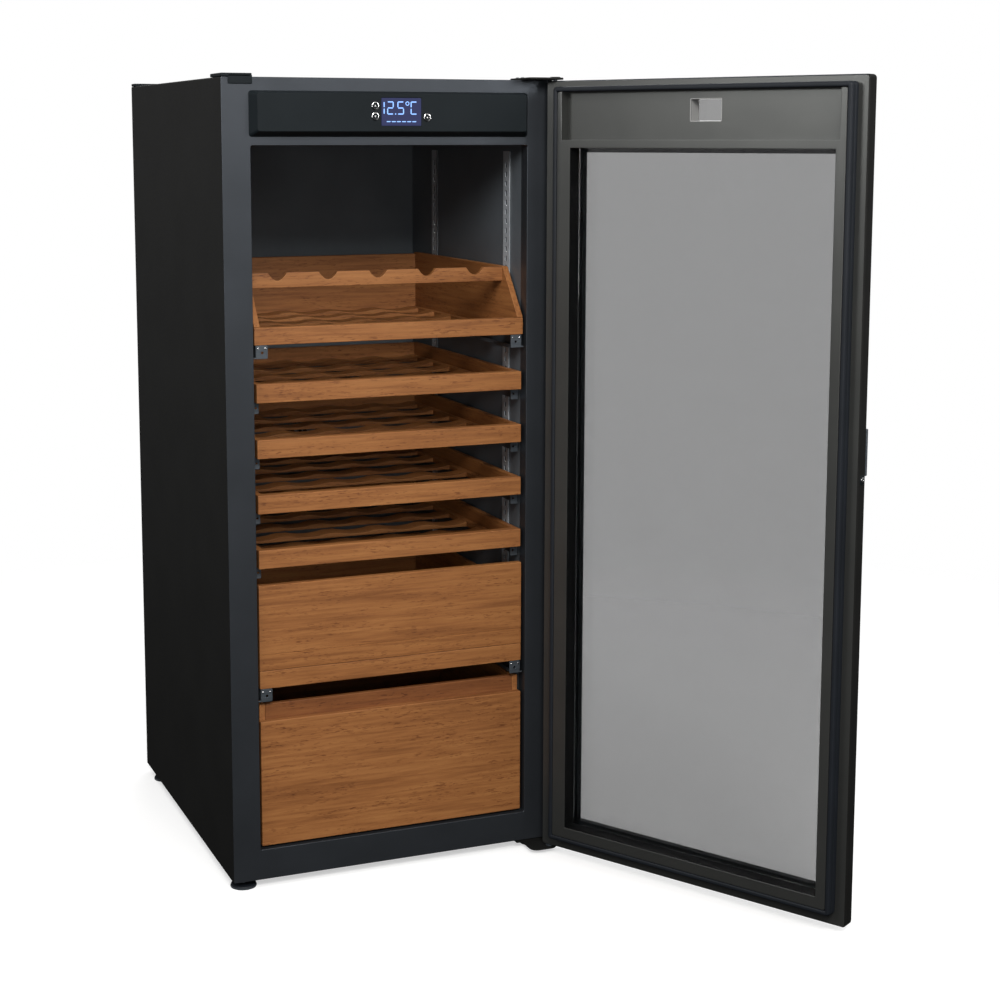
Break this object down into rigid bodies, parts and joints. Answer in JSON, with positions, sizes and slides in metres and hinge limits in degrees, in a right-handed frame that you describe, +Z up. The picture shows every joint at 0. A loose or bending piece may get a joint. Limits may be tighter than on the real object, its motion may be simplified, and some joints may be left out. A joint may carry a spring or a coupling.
{
  "type": "wine cooler",
  "caption": "Tall free-standing wine cabinet with a glazed side-hung door, a control bar with a display, sliding wooden shelves and two wooden drawers.",
  "frame": {"origin": "on the floor under the middle of the bounding box, with the door open as stored", "axes": "+Z up; the cabinet's front faces -Y; +X runs to the door's hinge side"},
  "size_m": [1.0344, 1.3936, 1.5948],
  "materials": {
    "case_black": "satin black powder coat, fine texture",
    "frame_charcoal": "satin charcoal with a faint metallic tint",
    "liner_plastic": "matt dark grey",
    "black_plastic": "fine satin grain",
    "seal_rubber": "smooth dark seal",
    "oiled_wood": "oiled, long straight grain",
    "zinc_steel": "blue-grey zinc plate",
    "bright_chrome": "polished",
    "tinted_glass": "grey tinted, clear",
    "display_lens": "gloss lens over a lit blue display",
    "compressor_black": "gloss black enamel",
    "condenser_aluminium": "bare folded fins"
  },
  "bodies": {
    "cabinet": {"outer_wrapper": "case_black", "back_panel": "case_black", "base_pan": "case_black", "face_frame": "frame_charcoal", "inner_liner": "liner_plastic", "evaporator_cover": "liner_plastic", "compressor": "compressor_black", "condenser": "condenser_aluminium", "power_inlet": "black_plastic", "control_housing": "black_plastic", "display_lens": "display_lens", "top_hinge_bracket": "case_black", "bottom_hinge_bracket": "case_black", "spare_hinge_cap": "black_plastic", "foot_front_left": "zinc_steel", "foot_front_right": "zinc_steel", "foot_rear_left": "zinc_steel", "foot_rear_right": "zinc_steel", "wall_strip_left_front": "zinc_steel", "wall_strip_left_rear": "zinc_steel", "wall_strip_right_front": "zinc_steel", "wall_strip_right_rear": "zinc_steel", "shelf_1_runner_left": "zinc_steel", "shelf_1_runner_right": "zinc_steel", "shelf_2_runner_left": "zinc_steel", "shelf_2_runner_right": "zinc_steel", "shelf_3_runner_left": "zinc_steel", "shelf_3_runner_right": "zinc_steel", "shelf_4_runner_left": "zinc_steel", "shelf_4_runner_right": "zinc_steel", "display_shelf_runner_left": "zinc_steel", "display_shelf_runner_right": "zinc_steel", "upper_drawer_runner_left": "zinc_steel", "upper_drawer_runner_right": "zinc_steel", "lower_drawer_runner_left": "zinc_steel", "lower_drawer_runner_right": "zinc_steel"},
    "door": {"door_frame": "frame_charcoal", "door_inner_frame": "black_plastic", "outer_glass": "tinted_glass", "inner_glass": "tinted_glass", "display_window": "tinted_glass", "door_gasket": "seal_rubber", "door_pull": "zinc_steel"},
    "lock": {"lock_cylinder": "bright_chrome"},
    "display_shelf": {"display_shelf_tray": "oiled_wood", "display_shelf_slide_left": "zinc_steel", "display_shelf_slide_right": "zinc_steel"},
    "shelf_1": {"shelf_1_tray": "oiled_wood"},
    "shelf_2": {"shelf_2_tray": "oiled_wood"},
    "shelf_3": {"shelf_3_tray": "oiled_wood"},
    "shelf_4": {"shelf_4_tray": "oiled_wood"},
    "upper_drawer": {"upper_drawer_box": "oiled_wood", "upper_drawer_front": "oiled_wood", "upper_drawer_slide_left": "zinc_steel", "upper_drawer_slide_right": "zinc_steel"},
    "lower_drawer": {"lower_drawer": "oiled_wood"},
    "fan": {"fan_blades": "black_plastic"},
    "button_up": {"button_up": "bright_chrome"},
    "button_down": {"button_down": "bright_chrome"},
    "button_light": {"button_light": "bright_chrome"}
  },
  "joints": [
    {"name": "door_hinge", "type": "hinge", "parent": "cabinet", "child": "door", "pos_m": [0.15279, -0.10916, 0.803], "axis": [0, 0, 1], "range_deg": [-120, 10]},
    {"name": "lock_turn", "type": "hinge", "parent": "door", "child": "lock", "pos_m": [0.4997, -0.69002, 0.861], "axis": [0.5, -0.866, 0], "range_deg": [0, 90]},
    {"name": "display_shelf_slide", "type": "slide", "parent": "cabinet", "child": "display_shelf", "axis": [0, -1, 0], "range_m": [0, 0.4]},
    {"name": "shelf_1_slide", "type": "slide", "parent": "cabinet", "child": "shelf_1", "axis": [0, -1, 0], "range_m": [0, 0.4]},
    {"name": "shelf_2_slide", "type": "slide", "parent": "cabinet", "child": "shelf_2", "axis": [0, -1, 0], "range_m": [0, 0.4]},
    {"name": "shelf_3_slide", "type": "slide", "parent": "cabinet", "child": "shelf_3", "axis": [0, -1, 0], "range_m": [0, 0.4]},
    {"name": "shelf_4_slide", "type": "slide", "parent": "cabinet", "child": "shelf_4", "axis": [0, -1, 0], "range_m": [0, 0.4]},
    {"name": "upper_drawer_slide", "type": "slide", "parent": "cabinet", "child": "upper_drawer", "axis": [0, -1, 0], "range_m": [0, 0.45]},
    {"name": "lower_drawer_slide", "type": "slide", "parent": "cabinet", "child": "lower_drawer", "axis": [0, -1, 0], "range_m": [0, 0.33]},
    {"name": "button_up_press", "type": "slide", "parent": "cabinet", "child": "button_up", "axis": [0, 1, 0], "range_m": [0, 0.0015], "stiffness_N_per_m": 400},
    {"name": "button_down_press", "type": "slide", "parent": "cabinet", "child": "button_down", "axis": [0, 1, 0], "range_m": [0, 0.0015], "stiffness_N_per_m": 400},
    {"name": "button_light_press", "type": "slide", "parent": "cabinet", "child": "button_light", "axis": [0, 1, 0], "range_m": [0, 0.0015], "stiffness_N_per_m": 400},
    {"name": "fan_spin", "type": "hinge", "parent": "cabinet", "child": "fan", "pos_m": [-0.17721, 0.55184, 0.828], "axis": [0, 1, 0], "continuous": true}
  ]
}
